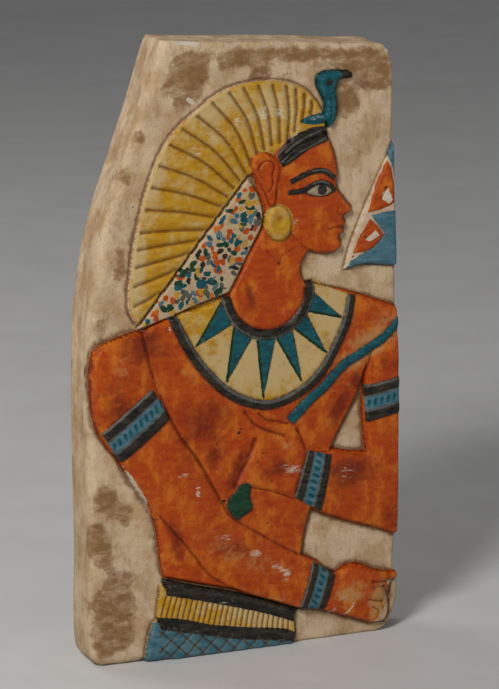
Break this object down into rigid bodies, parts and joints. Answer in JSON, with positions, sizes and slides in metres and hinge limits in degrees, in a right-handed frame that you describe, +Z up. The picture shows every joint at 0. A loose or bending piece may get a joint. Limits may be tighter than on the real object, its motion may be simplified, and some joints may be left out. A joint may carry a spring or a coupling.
{
  "type": "carved relief plaque",
  "caption": "Upright slab of pale stone with a painted low relief of a standing figure in profile with ribbed headdress, collar and pleated kilt, cut flush at one side.",
  "frame": {"origin": "middle of the bounding box at the underside, on which the slab stands", "axes": "+Z up along the slab's height, +X to the right seen from the carved front, the carved front faces -Y"},
  "size_m": [0.1634, 0.032, 0.304],
  "materials": {
    "painted_stone": "soft pale stone, painted by hand in orange, yellow, teal and black under a thin worn varnish"
  },
  "bodies": {
    "root": {"carved_slab": "painted_stone"}
  },
  "joints": []
}
